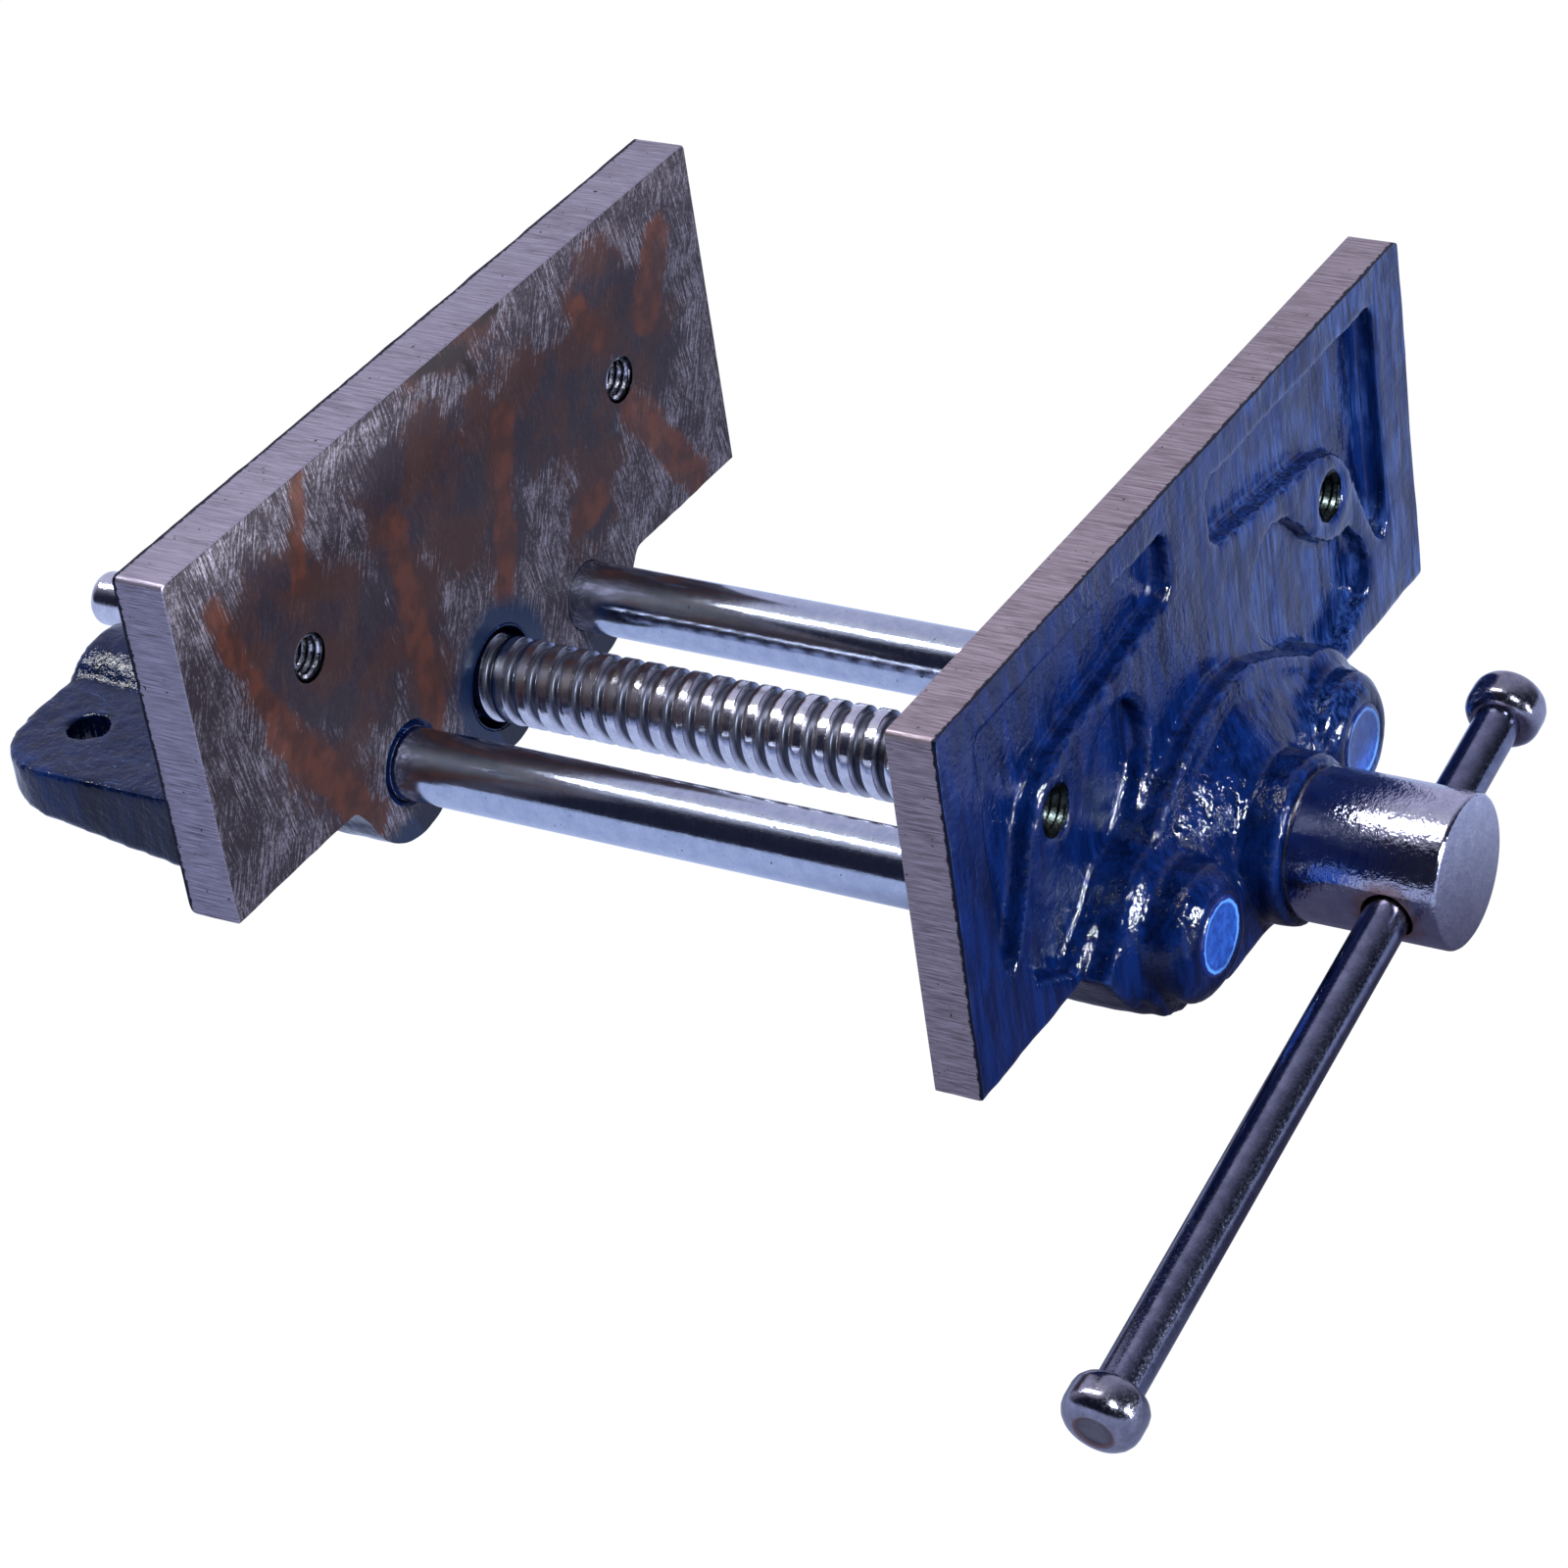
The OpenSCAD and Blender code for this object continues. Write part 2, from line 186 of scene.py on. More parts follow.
def mesh_of(parts, name="tool"):
    """One mesh from several closed (verts, faces) shapes in mm."""
    verts, faces = [], []
    for v, f in parts:
        faces += [tuple(i + len(verts) for i in face) for face in f]
        verts += v
    mesh = bpy.data.meshes.new(name)
    mesh.from_pydata([tuple(Vector(v) * MM) for v in verts], [], faces)
    return mesh


def rod(r, start, end, r_end=None):
    start, end = Vector(start), Vector(end)
    length = (end - start).length
    return turned([(0, 0), (0, r), (length, r if r_end is None else r_end), (length, 0)],
                  start, end - start, 64)


def machining_box(y0, y1, corner=1.2, edge=0.2):
    """What the planer leaves of a casting: a block with small round corners, as (verts, faces)."""
    outline, low = [], -200
    for k in range(7):
        a = math.pi / 2 * k / 6
        outline.append((JAW_X - corner + corner * math.cos(a), JAW_TOP - corner + corner * math.sin(a)))
    outline += [(-x, z) for x, z in reversed(outline)] + [(-JAW_X, low), (JAW_X, low)]
    cx, cz = 0, JAW_TOP - 40
    rings = []
    for y, inset in ((y0, edge), (y0 + edge, 0), (y1 - edge, 0), (y1, edge)):
        rings.append([
            (x - math.copysign(inset, x - cx), y, z - (inset if z > cz else 0)) for x, z in outline
        ])
    n = len(outline)
    verts = [v for r in rings for v in r]
    faces = [
        (k * n + i, (k + 1) * n + i, (k + 1) * n + (i + 1) % n, k * n + (i + 1) % n)
        for k in range(3)
        for i in range(n)
    ]
    faces += [tuple(range(n)), tuple(reversed(range(3 * n, 4 * n)))]
    return verts, faces


def outward(mesh):
    """Turns a closed mesh's faces to the outside."""
    b = bmesh.new()
    b.from_mesh(mesh)
    bmesh.ops.remove_doubles(b, verts=b.verts, dist=2e-6)
    bmesh.ops.recalc_face_normals(b, faces=b.faces)
    b.to_mesh(mesh)
    b.free()
    return mesh


def cast(node, face_y, out, box, cutters, seed):
    """The casting as it comes from the mould, with soft edges and an uneven skin, then machined."""
    mesh = outward(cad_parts[node].data.copy())
    co = np.empty(len(mesh.vertices) * 3)
    mesh.vertices.foreach_get("co", co)
    co = co.reshape(-1, 3) / MM
    grow = 3.0
    side = np.abs(co[:, 0]) > JAW_X - 1.6
    co[side, 0] += np.sign(co[side, 0]) * grow
    co[co[:, 2] > JAW_TOP - 1.6, 2] += grow
    co[np.abs(co[:, 1] - face_y) < 0.05, 1] += out * grow
    mesh.vertices.foreach_set("co", (co * MM).ravel())
    obj = loose("mould", mesh)
    remesh = obj.modifiers.new("remesh", "REMESH")
    remesh.mode, remesh.voxel_size = "VOXEL", 0.8 * MM
    smooth = obj.modifiers.new("smooth", "SMOOTH")
    smooth.factor, smooth.iterations = 0.5, 6
    mesh = evaluated(obj)
    co = np.empty(len(mesh.vertices) * 3)
    no = np.empty(len(mesh.vertices) * 3)
    mesh.vertices.foreach_get("co", co)
    mesh.vertices.foreach_get("normal", no)
    co, no = co.reshape(-1, 3) / MM, no.reshape(-1, 3)
    shift = Vector((seed, 2.3 * seed, 0))
    height = [
        0.32 + 0.22 * noise.noise(Vector((x / 11, y / 11, z / 16)) + shift)
        + 0.14 * noise.noise(Vector((x / 3.2, y / 3.2, z / 6)) + shift)
        for x, y, z in co
    ]
    co += no * np.array(height)[:, None]
    mesh.vertices.foreach_set("co", (co * MM).ravel())
    obj = loose("raw_casting", mesh)
    tools = [("INTERSECT", [box]), ("DIFFERENCE", cutters)]
    helpers = []
    for kind, parts in tools:
        tool = loose("tool", outward(mesh_of(parts)))
        helpers.append(tool)
        cut = obj.modifiers.new("cut", "BOOLEAN")
        cut.operation, cut.object, cut.solver = kind, tool, "MANIFOLD"
    mesh = evaluated(obj)
    for tool in helpers:
        bpy.data.objects.remove(tool)
    return mesh


def centres_and_normals(mesh):
    n = len(mesh.polygons)
    c, v = np.empty(n * 3), np.empty(n * 3)
    mesh.polygons.foreach_get("center", c)
    mesh.polygons.foreach_get("normal", v)
    return c.reshape(-1, 3) / MM, v.reshape(-1, 3)


# ---- materials ----


class Surface:
    """A Principled material built from nodes; every pattern is in mm in the row frame."""

    def __init__(self, name, metallic=0.0, roughness=0.4, **settings):
        self.material = bpy.data.materials.new(name)
        self.material.use_nodes = True
        self.tree = self.material.node_tree
        self.tree.nodes.clear()
        self.shader = self.add("ShaderNodeBsdfPrincipled")
        out = self.add("ShaderNodeOutputMaterial")
        self.tree.links.new(self.shader.outputs[0], out.inputs["Surface"])
        self.shader.inputs["Metallic"].default_value = metallic
        self.shader.inputs["Roughness"].default_value = roughness
        for key, value in settings.items():
            self.shader.inputs[key.replace("_", " ")].default_value = value
        coords = self.add("ShaderNodeTexCoord").outputs["Object"]
        self.at = self.vector("SCALE", coords, scale=1 / MM)
        parts = self.add("ShaderNodeSeparateXYZ")
        self.put(parts.inputs[0], self.at)
        self.x, self.y, self.z = parts.outputs
        self.normal = self.add("ShaderNodeNewGeometry").outputs["True Normal"]

    def add(self, kind):
        return self.tree.nodes.new(kind)

    def put(self, socket, value):
        if isinstance(value, bpy.types.NodeSocket):
            self.tree.links.new(value, socket)
        elif value is not None:
            socket.default_value = value

    def vector(self, op, a, b=None, scale=None):
        n = self.add("ShaderNodeVectorMath")
        n.operation = op
        self.put(n.inputs[0], a)
        self.put(n.inputs[1], b)
        if scale is not None:
            self.put(n.inputs["Scale"], scale)
        return n.outputs["Value"] if op in ("DOT_PRODUCT", "LENGTH", "DISTANCE") else n.outputs[0]

    def math(self, op, a, b=0.0, clamp=False):
        n = self.add("ShaderNodeMath")
        n.operation, n.use_clamp = op, clamp
        self.put(n.inputs[0], a)
        self.put(n.inputs[1], b)
        return n.outputs[0]

    def noise(self, size, detail=3, rough=0.55, distortion=0.0, at=None, stretch=(1, 1, 1)):
        """Noise of about this size in mm; stretch lengthens it along an axis."""
        n = self.add("ShaderNodeTexNoise")
        scaled = self.vector("MULTIPLY", at or self.at, tuple(1 / (size * s) for s in stretch))
        self.put(n.inputs["Vector"], scaled)
        for key, value in (("Scale", 1), ("Detail", detail), ("Roughness", rough),
                           ("Distortion", distortion)):
            self.put(n.inputs[key], value)
        return n.outputs["Fac"]

    def step(self, value, low, high, to_low=0.0, to_high=1.0):
        n = self.add("ShaderNodeMapRange")
        n.interpolation_type = "SMOOTHSTEP"
        for socket, v in zip(n.inputs, (value, low, high, to_low, to_high)):
            self.put(socket, v)
        return n.outputs[0]

    def mix(self, share, a, b):
        n = self.add("ShaderNodeMix")
        n.data_type = "RGBA"
        self.put(n.inputs[0], share)
        for socket, v in ((n.inputs[6], a), (n.inputs[7], b)):
            self.put(socket, (*v, 1) if isinstance(v, tuple) and len(v) == 3 else v)
        return n.outputs[2]

    def blend(self, share, a, b):
        n = self.add("ShaderNodeMix")
        n.data_type = "FLOAT"
        self.put(n.inputs[0], share)
        self.put(n.inputs[2], a)
        self.put(n.inputs[3], b)
        return n.outputs[0]

    def off_segment(self, p, q, at):
        """Distance from a line segment in the face's plane."""
        p, q = Vector((p[0], 0, p[1])), Vector((q[0], 0, q[1]))
        d = q - p
        rel = self.vector("SUBTRACT", at, tuple(p))
        t = self.math("MAXIMUM", self.vector("DOT_PRODUCT", rel, tuple(d / d.length_squared)), 0.0)
        t = self.math("MINIMUM", t, 1.0)
        along = self.vector("SCALE", tuple(d), scale=t)
        return self.vector("LENGTH", self.vector("SUBTRACT", rel, along))

    def finish(self, color=None, roughness=None, metallic=None, bumps=()):
        for key, v in (("Base Color", color), ("Roughness", roughness), ("Metallic", metallic)):
            if v is not None:
                self.put(self.shader.inputs[key], (*v, 1) if isinstance(v, tuple) else v)
        last = None
        for height, depth in bumps:
            n = self.add("ShaderNodeBump")
            self.put(n.inputs["Strength"], 1.0)
            self.put(n.inputs["Distance"], depth * MM)
            self.put(n.inputs["Height"], height)
            self.put(n.inputs["Normal"], last)
            last = n.outputs[0]
        self.put(self.shader.inputs["Normal"], last)
        return self.material


def enamel(name, deep, royal, sheen_tone, worn=False):
    """Thick gloss enamel brushed over a rough casting, gritty on the left wing, with painted highlights on
    its convex edges and a painted sheen in streaks on the far (+x) side.
    """
    s = Surface(name, IOR=1.34)
    runs = s.noise(3.6, 4, 0.6, 0.6, stretch=(1, 1, 5))
    fine = s.noise(0.9, 4, 0.65, 0.1, stretch=(1, 1, 14))
    skin = s.noise(2.4, 4, 0.6)
    grit = s.noise(1.5, 3, 0.6, 0.4)
    left = s.step(s.math("ADD", s.x, s.math("MULTIPLY", skin, 20)), 32, -2)
    tone = s.math("ADD", s.math("MULTIPLY", runs, 0.6), s.math("MULTIPLY", fine, 0.4))
    color = s.mix(s.step(tone, 0.36, 0.66), deep, royal)
    rough = s.blend(s.step(tone, 0.42, 0.62), 0.04, 0.17)
    rough = s.blend(left, rough, 0.04)
    # painted highlight: the convex edges, found by pointiness, are lightened towards the sheen tone
    crest = s.add("ShaderNodeNewGeometry").outputs["Pointiness"]
    crest = s.math("MULTIPLY", s.step(crest, 0.525, 0.58), s.step(runs, 0.30, 0.60))
    color = s.mix(s.math("MULTIPLY", crest, 0.35), color, sheen_tone)
    # painted sheen: lighter brush streaks on the far (+x) side of the casting
    brushed = s.math("MULTIPLY", s.step(fine, 0.38, 0.74), s.step(s.x, -10, 40))
    brushed = s.math("MULTIPLY", brushed, s.step(s.noise(9, 3), 0.36, 0.62))
    color = s.mix(s.math("MULTIPLY", brushed, 0.50), color, sheen_tone)
    if worn:
        up = s.vector("DOT_PRODUCT", s.normal, (0, 0, 1))
        strokes = s.noise(0.55, 3, 0.65, 0.5, stretch=(2.5, 9, 4))
        rubbed = s.math("MULTIPLY", s.step(strokes, 0.60, 0.72), s.step(up, 0.8, 0.98))
        color = s.mix(s.math("MULTIPLY", rubbed, 0.6), color, (0.06, 0.10, 0.24))
        rough = s.blend(rubbed, rough, 0.40)
    chips = s.step(s.noise(1.6, 2, 0.5), 0.745, 0.77)
    color = s.mix(chips, color, (0.003, 0.003, 0.008))
    return s.finish(color, rough, bumps=[
        (runs, 0.20), (skin, 0.16), (s.math("MULTIPLY", fine, s.blend(left, 1.0, 0.3)), 0.03),
        (s.math("MULTIPLY", grit, s.blend(left, 0.15, 1.0)), 0.20)])


def ground(name, paint_y, side, dark, light):
    """Ground cast iron with the grinder's fine lines across the strip and enamel over its cast edge."""
    s = Surface(name, metallic=0.85)
    lines = s.noise(0.35, 3, 0.7, stretch=(1, 22, 1))
    broad = s.noise(7, 3, 0.6, stretch=(1, 4, 1))
    color = s.mix(s.step(lines, 0.30, 0.72), dark, light)
    color = s.mix(s.step(broad, 0.35, 0.75, 0, 0.45), color, tuple(0.8 * c for c in light))
    pits = s.step(s.noise(1.1, 2, 0.5), 0.70, 0.76)
    color = s.mix(pits, color, (0.035, 0.020, 0.018))
    rust = s.step(s.noise(2.4, 3, 0.6), 0.73, 0.78)
    inward = s.math("MULTIPLY", s.math("SUBTRACT", s.y, paint_y), side)
    rust = s.math("MULTIPLY", rust, s.step(inward, 2.5, 0.5))
    color = s.mix(rust, color, (0.11, 0.028, 0.010))
    ragged = s.math("ADD", inward, s.math("MULTIPLY", s.noise(1.3, 4, 0.7), 1.6))
    paint = s.step(ragged, 1.35, 1.05)
    color = s.mix(paint, color, (0.004, 0.005, 0.016))
    rough = s.blend(s.step(lines, 0.3, 0.7), 0.52, 0.38)
    return s.finish(color, rough, bumps=[(lines, 0.03), (s.noise(2, 3), 0.03)])


def scoured(name, streaks, films, enamel_round=None, scorched=()):
    """Inner jaw face: wire-brushed iron under brown films and streaks of rust."""
    s = Surface(name, IOR=1.3)
    flat = s.vector("MULTIPLY", s.at, (1, 0, 1))
    wobble = s.noise(6, 4, 0.65)
    ragged = s.noise(1.2, 4, 0.75)

    def slanted(lean, size, length):
        """Brush strokes that lean from upright."""
        at = s.vector("ADD", s.at, s.vector("SCALE", (1, 0, 0), scale=s.math("MULTIPLY", s.z, lean)))
        return s.noise(size, 4, 0.72, 0.25, at=at, stretch=(1, 1, length))

    strokes = s.blend(s.step(s.noise(14, 2), 0.42, 0.58), slanted(0.18, 0.36, 16), slanted(-0.5, 0.42, 10))
    crumbs = s.noise(0.9, 5, 0.8)
    broad = s.noise(11, 3, 0.6)
    worn = s.math("ADD", s.math("MULTIPLY", strokes, 0.50), s.math("MULTIPLY", crumbs, 0.30))
    worn = s.math("ADD", worn, s.math("MULTIPLY", broad, 0.20))
    bright = s.step(worn, 0.47, 0.64)
    color = s.mix(bright, (0.018, 0.012, 0.017), (0.27, 0.235, 0.28))
    metal = s.blend(bright, 0.2, 0.85)
    rough = s.blend(bright, 0.55, 0.38)
    rag = s.math("ADD", s.math("MULTIPLY", s.math("SUBTRACT", wobble, 0.5), 18),
                 s.math("MULTIPLY", s.math("SUBTRACT", ragged, 0.5), 6))
    rag = s.math("ADD", rag, s.math("MULTIPLY", s.math("SUBTRACT", strokes, 0.5), 14))
    rag_small = s.math("MULTIPLY", rag, 0.33)

    def spread(shapes, push, soft):
        """How much of the surface the shapes cover, with ragged edges."""
        total = None
        for p, q, r in shapes:
            d = s.math("ADD", s.off_segment(p, q, flat), push)
            m = s.step(d, r + soft, r - soft)
            total = m if total is None else s.math("MAXIMUM", total, m)
        return total

    film_tone = s.mix(s.step(s.noise(10, 3), 0.40, 0.60), (0.026, 0.009, 0.007), (0.012, 0.007, 0.012))
    film_tone = s.mix(s.step(crumbs, 0.55, 0.75), film_tone, (0.042, 0.017, 0.013))
    film = s.math("MULTIPLY", spread(films, s.math("SUBTRACT", rag, 3.0), 2.2), 0.94)
    color = s.mix(film, color, film_tone)
    streak = spread(streaks, rag_small, 0.9)
    rust_tone = s.mix(s.step(s.noise(5, 4), 0.38, 0.62), (0.030, 0.009, 0.006), (0.060, 0.016, 0.008))
    color = s.mix(s.math("MULTIPLY", streak, 0.93), color, rust_tone)
    cover = s.math("MAXIMUM", film, streak)
    metal = s.blend(cover, metal, 0.0)
    rough = s.blend(cover, rough, 0.5)
    chips = s.step(s.noise(1.3, 2, 0.5), 0.74, 0.78)
    color = s.mix(chips, color, (0.008, 0.006, 0.008))
    if scorched:
        color = s.mix(spread(scorched, rag_small, 0.8), color, (0.012, 0.007, 0.008))
    if enamel_round:
        x, z, r, low = enamel_round
        off = s.vector("LENGTH", s.vector("SUBTRACT", flat, (x, 0, z)))
        smear = s.step(s.math("ADD", off, rag_small), r + 3, r - 2)
        smear = s.math("MAXIMUM", smear, s.step(s.math("ADD", s.z, rag_small), low + 2, low - 2))
        color = s.mix(smear, color, (0.003, 0.009, 0.030))
        metal = s.blend(smear, metal, 0.0)
        rough = s.blend(smear, rough, 0.25)
    return s.finish(color, rough, metal, bumps=[(worn, 0.10), (crumbs, 0.05)])


def steel(name, dark, light, rough=(0.14, 0.30), pits=0.02, grain=0.55, speck=1.0, lines=None):
    """Turned or polished steel with fine pitting."""
    s = Surface(name, metallic=1.0)
    cloud = s.noise(3, 5, 0.7)
    pitting = s.noise(grain, 3, 0.7)
    color = s.mix(s.step(cloud, 0.25, 0.8), dark, light)
    spots = s.step(s.noise(0.8, 2, 0.5), 0.70, 0.78, 0, speck)
    color = s.mix(spots, color, (0.03, 0.022, 0.03))
    r = s.blend(s.step(pitting, 0.4, 0.75), rough[0], rough[1])
    bumps = [(pitting, pits)]
    if lines:
        bumps.append((s.noise(0.3, 3, 0.6, stretch=lines), 0.012))
    return s, color, r, bumps


# ---- the enamel castings ----
# The two castings wear one enamel, given as two copies: the rear copy is lighter and the front copy darker,
# light and shade painted into their colours.
front_enamel = enamel("enamel_front", (0.0004, 0.0020, 0.014), (0.0012, 0.0070, 0.046), (0.028, 0.062, 0.20))
rear_enamel = enamel("enamel_rear", (0.0008, 0.0042, 0.024),
                     (0.0022, 0.0125, 0.066), (0.03, 0.06, 0.18), worn=True)
rear_ground = ground("ground_iron_rear", REAR_FACE + 10.5, -1, (0.12, 0.10, 0.14), (0.34, 0.31, 0.39))
front_ground = ground("ground_iron_front", FRONT_FACE - 9.1, 1, (0.10, 0.078, 0.095), (0.34, 0.28, 0.32))
TOP = JAW_TOP
rear_iron = scoured(
    "scoured_iron_rear",
    [((-76, TOP - 12), (-66, TOP - 42), 2.6), ((-66, TOP - 42), (-45, TOP - 76), 4.2),
     ((-46, TOP + 1), (-52, TOP - 20), 2.0), ((-23, TOP - 24), (-22, TOP - 68), 3.4),
     ((15, TOP - 22), (5, TOP - 58), 3.6), ((43, TOP - 14), (50, TOP - 24), 3.0),
     ((73, TOP - 14), (66, TOP - 26), 5.0), ((56, TOP - 42), (74, TOP - 68), 4.2),
     ((40, TOP - 54), (33, TOP - 55), 3.4)],
    [((-58, TOP - 25), (-40, TOP - 44), 13), ((-23, TOP - 16), (-22, TOP - 60), 6),
     ((-10, TOP - 20), (-2, TOP - 32), 11), ((18, TOP - 26), (44, TOP - 32), 11),
     ((50, TOP - 14), (66, TOP - 34), 8), ((44, TOP - 46), (37, TOP - 54), 6),
     ((7, TOP - 20), (8, TOP - 46), 6), ((-60, TOP - 52), (-50, TOP - 66), 5),
     ((-8, TOP + 2), (14, TOP - 1), 2.5)],
    (0, AXIS_Z, 15, AXIS_Z - 10),
    [((-6, TOP - 1), (4, TOP - 3), 1.8), ((6, TOP - 3), (8, TOP - 9), 1.6),
     ((12, TOP - 1), (20, TOP - 1), 1.0)],
)
front_iron = scoured(
    "scoured_iron_front",
    [((-60, TOP - 10), (-40, TOP - 50), 3.4), ((20, TOP - 16), (32, TOP - 52), 3.0)],
    [((-40, TOP - 30), (-10, TOP - 26), 13), ((40, TOP - 20), (60, TOP - 46), 12)],
)
s, color, rough, bumps = steel("tapped_iron", (0.55, 0.54, 0.62), (0.88, 0.87, 0.93))
off_hole = s.vector("MULTIPLY", s.vector("ABSOLUTE", s.at), (1, 0, 1))
off_hole = s.vector("SUBTRACT", off_hole, (CHEEK_X, 0, CHEEK_Z))
# painted shade: the thread roots and the bore wall of the tapped holes are darkened
groove_shade = s.step(s.vector("LENGTH", off_hole), CHEEK_R - 0.75, CHEEK_R - 0.35)
tapped = s.finish(s.mix(groove_shade, color, (0.030, 0.028, 0.036)), rough, bumps=bumps)
# The front casting's tapped holes take a near-black steel all over.
bare = steel("near_black_tap", (0.010, 0.013, 0.014), (0.05, 0.06, 0.055), (0.25, 0.5), 0.03)
dull_tap = bare[0].finish(bare[1], bare[2], bumps=bare[3])

BOX_BACK, BOX_FRONT = 60, -300
MACHINED, FACE, BORE = 1, 2, 3


def sides(make):
    return [make(-1), make(1)]


rear_cutters = (
    sides(lambda k: rod(BAR_R + 0.12, (k * BAR_X, REAR_FACE - 9, AXIS_Z), (k * BAR_X, 40, AXIS_Z)))
    + [rod(SCREW_HOLE_R, (0, REAR_FACE - 9, AXIS_Z), (0, REAR_FACE + 12, AXIS_Z)),
       rod(SCREW_HOLE_R + 0.3, (0, REAR_FACE - 0.01, AXIS_Z), (0, REAR_FACE + 0.3, AXIS_Z), SCREW_HOLE_R),
       rod(8.5, (-BAR_X, REAR_FACE - 0.01, AXIS_Z), (-BAR_X, REAR_FACE + 1.2, AXIS_Z), 7.2)]
    + sides(lambda k: rod(LUG_R, (k * LUG_X, 0, -40), (k * LUG_X, 0, 20)))
    + sides(lambda k: rod(CHEEK_R, (k * CHEEK_X, REAR_FACE - 9, CHEEK_Z),
                          (k * CHEEK_X, REAR_FACE + 16, CHEEK_Z)))
)
mesh = cast("rear_jaw_casting", REAR_FACE, -1, machining_box(REAR_FACE, BOX_BACK), rear_cutters, 3)
centre, normal = centres_and_normals(mesh)


def casting_slots(centre, normal, face_y):
    """Material numbers: enamel 0, ground edges 1, the scoured inner face 2 and tapped holes 3."""
    slots = np.zeros(len(centre), np.int32)
    near_plate = np.abs(centre[:, 1] - face_y) < 12
    edge = (np.abs(centre[:, 0]) > JAW_X - 1.55) & (np.abs(normal[:, 0]) > 0.1) | (
        (centre[:, 2] > JAW_TOP - 1.55) & (normal[:, 2] > 0.1))
    flush = (np.abs(np.abs(centre[:, 0]) - JAW_X) < 0.02) | (centre[:, 2] > JAW_TOP - 0.02) | (
        (np.abs(centre[:, 0]) > JAW_X - 1.55) & (centre[:, 2] > JAW_TOP - 1.55))
    chamfer = np.abs(centre[:, 1] - face_y) < 0.31
    slots[near_plate & edge & flush] = MACHINED
    slots[edge & chamfer] = MACHINED
    slots[np.abs(centre[:, 1] - face_y) < 0.01] = FACE
    for x in (-CHEEK_X, CHEEK_X):
        r = np.hypot(centre[:, 0] - x, centre[:, 2] - CHEEK_Z)
        slots[(r < CHEEK_R + 0.01) & near_plate] = BORE
    return slots


rear_casting = finish_piece(
    "rear_casting", mesh, "rear_jaw", [rear_enamel, rear_ground, rear_iron, tapped], 40,
    casting_slots(centre, normal, REAR_FACE))
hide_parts("rear_jaw_casting")

front_cutters = sides(
    lambda k: rod(CHEEK_R, (k * CHEEK_X, FRONT_FACE - 16, CHEEK_Z), (k * CHEEK_X, FRONT_FACE + 9, CHEEK_Z)))
mesh = cast("front_jaw_casting", FRONT_FACE, 1, machining_box(BOX_FRONT, FRONT_FACE), front_cutters, 8)
centre, normal = centres_and_normals(mesh)
front_casting = finish_piece(
    "front_casting", mesh, "front_jaw", [front_enamel, front_ground, front_iron, dull_tap], 40,
    casting_slots(centre, normal, FRONT_FACE))
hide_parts("front_jaw_casting")

# ---- tapped holes ----
TAP = [(0.0, 0.0), (0.12, 0.0), (0.5, 1.0), (0.62, 1.0)]
for jaw, body, y0, y1 in (("rear", "rear_jaw", REAR_FACE + 0.3, REAR_FACE + 10.1),
                          ("front", "front_jaw", FRONT_FACE - 9.0, FRONT_FACE - 0.3)):
    for side, x in (("left", -CHEEK_X), ("right", CHEEK_X)):
        v, f = helix_tube(1.5875, (CHEEK_R - 0.02, CHEEK_R - 0.95), y0, y1, x, CHEEK_Z, TAP, 48)
        f = [tuple(reversed(face)) for face in f]
        iron = tapped if jaw == "rear" else dull_tap
        piece(f"tapped_thread_{jaw}_{side}", v, f, body, [iron], 60)

# ---- guide bars ----
s, color, rough, bumps = steel("polished_bar", (0.40, 0.45, 0.58), (0.53, 0.58, 0.69), (0.10, 0.20),
                               0.012, lines=(1, 14, 1))
bar_steel = s.finish(color, rough, bumps=bumps)
s = Surface("bar_end_enamel")
disc = s.vector("LENGTH", s.vector("SUBTRACT", s.vector("MULTIPLY", s.vector("ABSOLUTE", s.at), (1, 0, 1)),
                                   (BAR_X, 0, abs(AXIS_Z))))
tint = s.mix(s.step(s.noise(1.6, 4, 0.6, 0.4), 0.35, 0.7), (0.003, 0.022, 0.13), (0.010, 0.045, 0.22))
disc = s.math("ADD", disc, s.math("MULTIPLY", s.math("SUBTRACT", s.noise(1.5), 0.5), 0.8))
# painted highlight: a lighter band just inside the rim
tint = s.mix(s.step(disc, BAR_R - 1.3, BAR_R - 0.8), tint, (0.05, 0.15, 0.42))
# painted shade: a dark ring over the bead at the rim
tint = s.mix(s.step(disc, BAR_R - 0.6, BAR_R - 0.3), tint, (0.003, 0.008, 0.06))
end_enamel = s.finish(tint, s.step(s.noise(2), 0.3, 0.7, 0.16, 0.34), bumps=[(s.noise(1.2), 0.08)])
for side, (lo, hi) in BARS.items():
    x = (lo.x + hi.x) / 2
    profile = [(0, 0), (0, BAR_R - 0.35), (0.35, BAR_R)]
    length = hi.y - lo.y
    profile += [(20 * k, BAR_R) for k in range(1, 12)]
    profile += [(length - 1, BAR_R), (length, BAR_R - 1), (length, 0)]
    v, f = turned(profile, Vector((x, lo.y, AXIS_Z)), Y, 96)
    bar = piece(f"bar_{side}", v, f, "front_jaw", [bar_steel])
    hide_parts(f"guide_bar_{side}")
    # enamel that covers the bar's front end, with a bead round its rim
    profile = [(0.02, 0), (0.0, 2.5), (-0.02, BAR_R - 1.4), (-0.18, BAR_R - 0.6), (-0.10, BAR_R + 0.05),
               (0.35, BAR_R + 0.45), (0.9, BAR_R + 0.5), (1.2, 0)]
    v, f = turned([(k - 0.12, r) for k, r in profile], Vector((x, lo.y, AXIS_Z)), Y, 96)
    piece(f"bar_end_{side}", v, f, "front_jaw", [end_enamel], 50)

